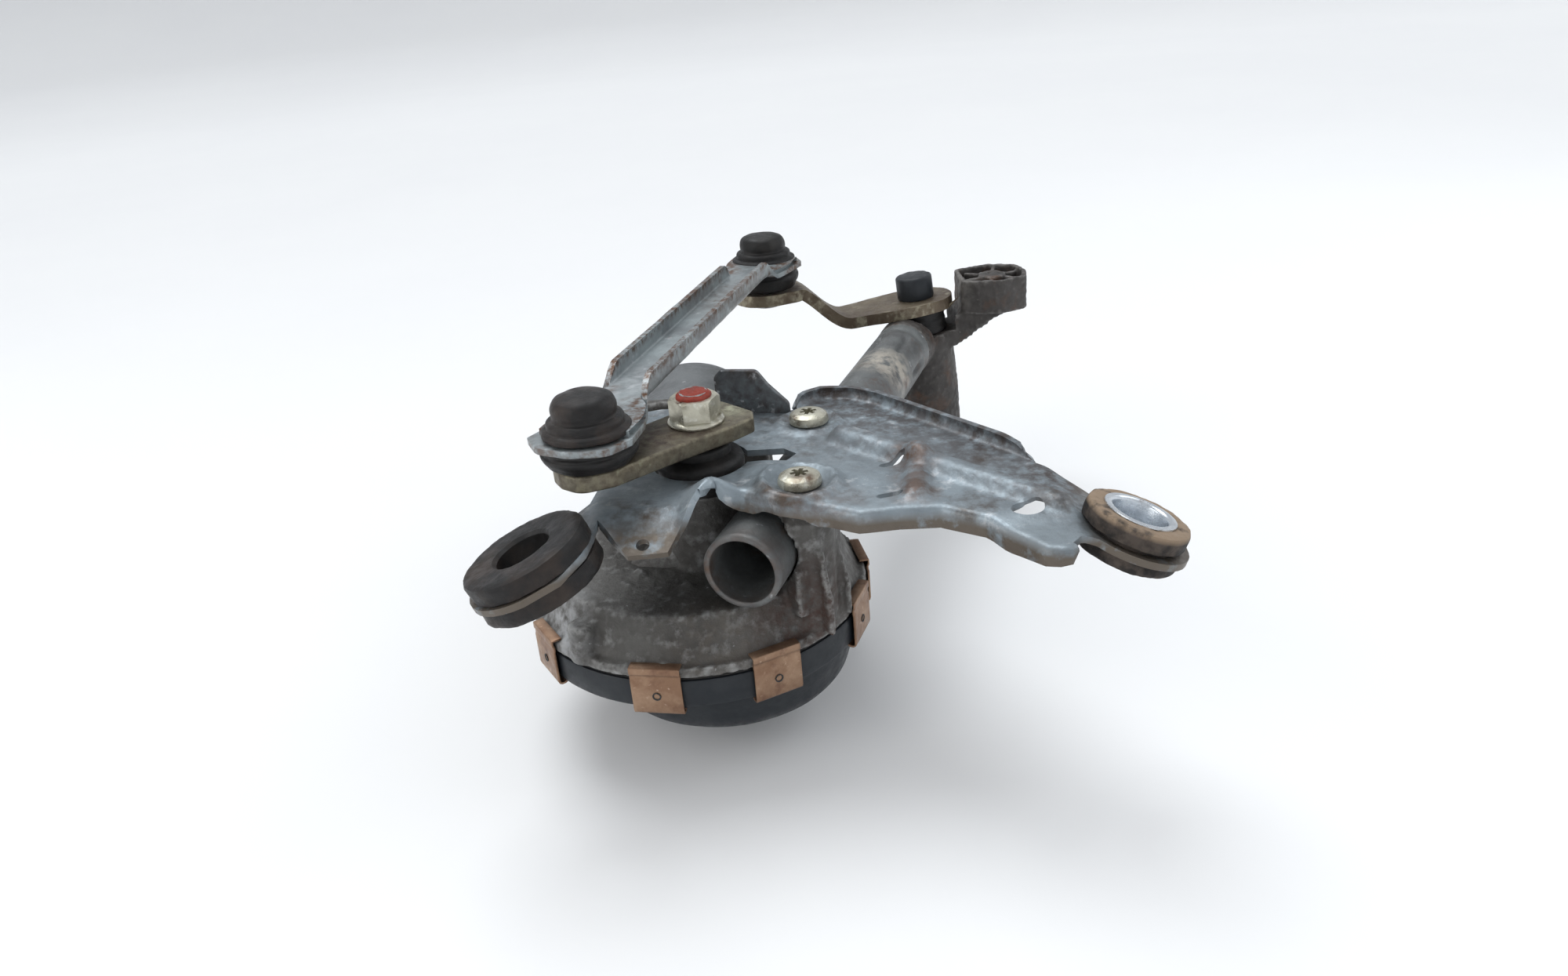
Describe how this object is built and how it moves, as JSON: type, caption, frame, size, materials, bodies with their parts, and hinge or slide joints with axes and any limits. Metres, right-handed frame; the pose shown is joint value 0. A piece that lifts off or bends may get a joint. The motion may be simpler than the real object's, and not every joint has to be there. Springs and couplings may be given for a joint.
{
  "type": "windshield wiper drive assembly",
  "caption": "Windshield wiper drive: stamped bracket, frame tube, geared motor, crank, link rod and pivot lever on a leaning wiper spindle.",
  "frame": {"origin": "centre of the right body mount's metal sleeve", "axes": "+Z parallel to the motor's output axis, towards the crank and link rod; +X along the line from the left to the right body mount; +Y towards the wiper pivot"},
  "size_m": [0.1888, 0.2347, 0.1155],
  "materials": {
    "bracket_steel": "blue-grey zinc plated steel, weathered",
    "tube_steel": "grey weathered steel",
    "dark_casting": "dark die casting with light deposits",
    "rubber": "matte black rubber",
    "bright_zinc": "bright zinc",
    "pale_zinc": "pale yellow zinc",
    "bronze": "sintered bronze",
    "grey_casting": "rough die-cast aluminium, stained",
    "black_plastic": "black moulded plastic",
    "copper_clip": "copper-coloured spring steel",
    "can_steel": "grey zinc plated drawn steel",
    "ferrite": "ferrite",
    "brown_plastic": "brown phenolic",
    "carbon": "pressed carbon",
    "ground_steel": "ground steel",
    "board": "green laminate",
    "ivory_nylon": "ivory acetal",
    "spring_steel": "blackened spring steel",
    "olive_zinc": "olive yellow zinc with dark rust",
    "core_steel": "stacked steel laminations",
    "copper_wire": "enamelled copper",
    "link_steel": "blue-grey zinc, rusty edges"
  },
  "bodies": {
    "frame": {"bracket_plate": "bracket_steel", "frame_tube": "tube_steel", "pivot_housing": "dark_casting", "left_grommet": "rubber", "right_grommet": "rubber", "right_sleeve": "bright_zinc", "bracket_screws": "pale_zinc", "pivot_bushes": "bronze", "pivot_seal": "rubber", "gear_housing": "grey_casting", "gear_cover": "black_plastic", "cover_gasket": "rubber", "spring_clips": "copper_clip", "motor_can": "can_steel", "field_magnets": "ferrite", "can_screws": "pale_zinc", "brush_plate": "brown_plastic", "carbon_brushes": "carbon", "armature_bushes": "bronze", "output_bush": "bronze", "shaft_seal": "rubber", "idler_pins": "ground_steel", "control_board": "board", "connector_socket": "black_plastic"},
    "crank": {"output_shaft": "ground_steel", "output_gear": "ivory_nylon", "shaft_circlip": "spring_steel", "crank_arm": "olive_zinc", "crank_nut": "pale_zinc", "near_ball_stud": "ground_steel"},
    "armature": {"armature_shaft": "ground_steel", "armature_core": "core_steel", "armature_windings": "copper_wire", "commutator": "copper_wire"},
    "front_idler": {"front_idler_gear": "ivory_nylon"},
    "rear_idler": {"rear_idler_gear": "ivory_nylon"},
    "link": {"link_rod": "link_steel", "near_socket": "ivory_nylon", "far_socket": "ivory_nylon", "near_upper_boot": "rubber", "near_lower_boot": "rubber", "far_upper_boot": "rubber", "far_lower_boot": "rubber", "far_ball_stud": "ground_steel"},
    "lever": {"pivot_lever": "olive_zinc", "lever_rivet": "ground_steel", "pivot_spindle": "ground_steel", "spindle_cap": "black_plastic", "spindle_washer": "spring_steel", "spindle_circlip": "spring_steel"}
  },
  "joints": [
    {"name": "crank_turn", "type": "hinge", "parent": "frame", "child": "crank", "pos_m": [-0.10814, 0.0535, 0.01623], "axis": [0, 0, 1], "range_deg": [-105, 0]},
    {"name": "link_swing", "type": "hinge", "parent": "crank", "child": "link", "pos_m": [-0.13534, 0.03147, 0.03023], "axis": [0, 0, 1], "range_deg": [-2, 106]},
    {"name": "lever_swing", "type": "hinge", "parent": "frame", "child": "lever", "pos_m": [-0.02363, 0.20444, -0.01365], "axis": [-0.0831, 0.0262, 0.9962], "range_deg": [-57, 2]},
    {"name": "armature_spin", "type": "hinge", "parent": "frame", "child": "armature", "pos_m": [-0.11714, 0.0935, -0.03027], "axis": [0, 1, 0], "range_deg": [-6400, 100]},
    {"name": "front_idler_spin", "type": "hinge", "parent": "frame", "child": "front_idler", "pos_m": [-0.13432, 0.04322, -0.03327], "axis": [0, 0, 1], "range_deg": [-10, 430]},
    {"name": "rear_idler_spin", "type": "hinge", "parent": "frame", "child": "rear_idler", "pos_m": [-0.09996, 0.08041, -0.03327], "axis": [0, 0, 1], "range_deg": [-10, 430]}
  ],
  "couplings": [
    {"joint": "link_swing", "follows": "crank_turn", "ratio": -0.98719},
    {"joint": "lever_swing", "follows": "crank_turn", "ratio": 0.52526},
    {"joint": "front_idler_spin", "follows": "crank_turn", "ratio": -4},
    {"joint": "rear_idler_spin", "follows": "crank_turn", "ratio": -4},
    {"joint": "armature_spin", "follows": "crank_turn", "ratio": 60}
  ]
}
